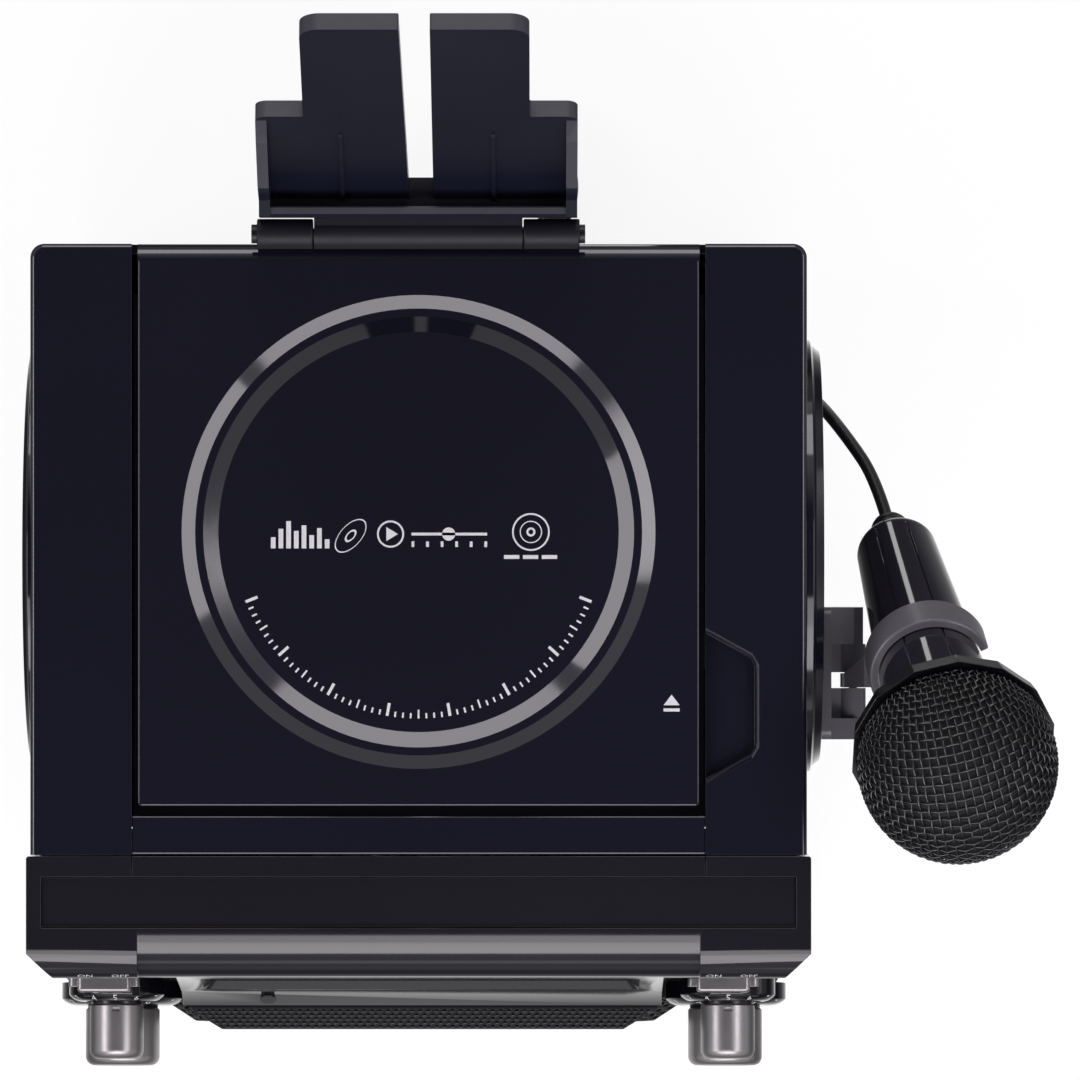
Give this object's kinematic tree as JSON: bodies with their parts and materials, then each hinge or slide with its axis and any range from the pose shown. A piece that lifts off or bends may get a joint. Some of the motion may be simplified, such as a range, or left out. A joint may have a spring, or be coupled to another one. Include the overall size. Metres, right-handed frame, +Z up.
{
  "type": "karaoke machine",
  "caption": "Black karaoke machine with a top-loading disc lid, a fold-down tablet cradle, front dials and a corded microphone in a side holder",
  "frame": {"origin": "on the surface that it stands on, under the middle of the cabinet, at the centre of the middle foot", "axes": "+X the machine's right side as its user faces its front from behind it, +Y its rear, +Z up"},
  "size_m": [0.2981, 0.3028, 0.408],
  "materials": {
    "gloss_black": "polished",
    "satin_black": "satin",
    "gunmetal": "satin",
    "smoked_window": "polished",
    "mesh_black": "satin",
    "steel": "brushed",
    "rubber_black": "matte",
    "white_plastic": "satin",
    "inner_plastic": "matte",
    "board_green": "satin",
    "motor_steel": "satin",
    "cone_paper": "matte",
    "lens_glass": "polished"
  },
  "bodies": {
    "machine": {"cabinet_shell": "gloss_black", "top_deck": "gloss_black", "front_bezel": "gloss_black", "top_insert": "gloss_black", "centre_fascia": "gloss_black", "dial_rings": "gloss_black", "side_cap_left": "gloss_black", "side_cap_right": "gloss_black", "cradle_base": "satin_black", "mic_bracket": "satin_black", "mic_clip": "satin_black", "rear_panel": "satin_black", "switch_plates": "satin_black", "display_window": "smoked_window", "infrared_window": "smoked_window", "speaker_grille": "mesh_black", "hinge_pins": "steel", "guide_rods": "steel", "rear_screws": "steel", "rubber_feet": "rubber_black", "mic_cord": "rubber_black", "mic_cord_coil": "rubber_black", "mic_cord_end": "rubber_black", "mic_plug": "rubber_black", "drive_chassis": "inner_plastic", "switch_bodies": "inner_plastic", "microphone_sockets": "inner_plastic", "rear_sockets": "inner_plastic", "front_boards": "board_green", "main_board": "board_green", "drive_motors": "motor_steel", "potentiometers": "motor_steel", "power_transformer": "motor_steel", "speaker_basket": "motor_steel", "speaker_cone": "cone_paper"},
    "lid": {"disc_lid": "gloss_black", "clamp_puck": "satin_black"},
    "turntable": {"turntable": "inner_plastic"},
    "sled": {"pickup_sled": "inner_plastic", "pickup_lens": "lens_glass"},
    "pinion": {"sled_pinion": "white_plastic"},
    "knob_upper_left": {"knob_upper_left": "gunmetal"},
    "knob_upper_right": {"knob_upper_right": "gunmetal"},
    "knob_lower_left": {"knob_lower_left": "gunmetal"},
    "knob_lower_right": {"knob_lower_right": "gunmetal"},
    "switch_left": {"switch_cap_left": "gunmetal"},
    "switch_right": {"switch_cap_right": "gunmetal"},
    "button_1": {"button_1": "gunmetal"},
    "button_2": {"button_2": "gunmetal"},
    "button_3": {"button_3": "gunmetal"},
    "button_4": {"button_4": "gunmetal"},
    "button_5": {"button_5": "gunmetal"},
    "cradle": {"cradle_tray": "satin_black"},
    "microphone": {"mic_handle": "gloss_black", "mic_rim": "satin_black", "mic_grille": "mesh_black", "mic_capsule": "motor_steel", "mic_relief": "rubber_black"},
    "mic_slider": {"mic_switch": "satin_black"}
  },
  "joints": [
    {"name": "lid_opens", "type": "hinge", "parent": "machine", "child": "lid", "pos_m": [0, 0.1003, 0.295], "axis": [-1, 0, 0], "range_deg": [0, 60]},
    {"name": "turntable_spins", "type": "hinge", "parent": "machine", "child": "turntable", "pos_m": [0, 0.0229, 0.285], "axis": [0, 0, 1], "continuous": true},
    {"name": "sled_travels", "type": "slide", "parent": "machine", "child": "sled", "axis": [0, -1, 0], "range_m": [0, 0.03]},
    {"name": "pinion_turns", "type": "hinge", "parent": "machine", "child": "pinion", "pos_m": [0.0303, -0.0156, 0.272], "axis": [0, 0, 1], "range_deg": [0, 191]},
    {"name": "knob_upper_left_turns", "type": "hinge", "parent": "machine", "child": "knob_upper_left", "pos_m": [-0.09, -0.10862, 0.205], "axis": [0, -0.9975, 0.0708], "range_deg": [-150, 150]},
    {"name": "knob_upper_right_turns", "type": "hinge", "parent": "machine", "child": "knob_upper_right", "pos_m": [0.09, -0.10862, 0.205], "axis": [0, -0.9975, 0.0708], "range_deg": [-150, 150]},
    {"name": "knob_lower_left_turns", "type": "hinge", "parent": "machine", "child": "knob_lower_left", "pos_m": [-0.09, -0.11181, 0.16], "axis": [0, -0.9975, 0.0708], "range_deg": [-150, 150]},
    {"name": "knob_lower_right_turns", "type": "hinge", "parent": "machine", "child": "knob_lower_right", "pos_m": [0.09, -0.11181, 0.16], "axis": [0, -0.9975, 0.0708], "range_deg": [-150, 150]},
    {"name": "switch_left_slides", "type": "slide", "parent": "machine", "child": "switch_left", "axis": [1, 0, 0], "range_m": [0, 0.004]},
    {"name": "switch_right_slides", "type": "slide", "parent": "machine", "child": "switch_right", "axis": [1, 0, 0], "range_m": [0, 0.004]},
    {"name": "button_1_presses", "type": "slide", "parent": "machine", "child": "button_1", "axis": [0, 1, 0], "range_m": [0, 0.0015], "stiffness_N_per_m": 400},
    {"name": "button_2_presses", "type": "slide", "parent": "machine", "child": "button_2", "axis": [0, 1, 0], "range_m": [0, 0.0015], "stiffness_N_per_m": 400},
    {"name": "button_3_presses", "type": "slide", "parent": "machine", "child": "button_3", "axis": [0, 1, 0], "range_m": [0, 0.0015], "stiffness_N_per_m": 400},
    {"name": "button_4_presses", "type": "slide", "parent": "machine", "child": "button_4", "axis": [0, 1, 0], "range_m": [0, 0.0015], "stiffness_N_per_m": 400},
    {"name": "button_5_presses", "type": "slide", "parent": "machine", "child": "button_5", "axis": [0, 1, 0], "range_m": [0, 0.0015], "stiffness_N_per_m": 400},
    {"name": "cradle_tilts", "type": "hinge", "parent": "machine", "child": "cradle", "pos_m": [0, 0.1079, 0.3048], "axis": [-1, 0, 0], "range_deg": [-80, 0]},
    {"name": "microphone_lifts_out", "type": "slide", "parent": "machine", "child": "microphone", "axis": [0.127, -0.5372, 0.8338], "range_m": [0, 0.07]},
    {"name": "mic_slider_moves", "type": "slide", "parent": "microphone", "child": "mic_slider", "axis": [-0.127, 0.5372, -0.8338], "range_m": [0, 0.005]}
  ],
  "couplings": [
    {"joint": "pinion_turns", "follows": "sled_travels", "rad_per_m": 111.11}
  ]
}
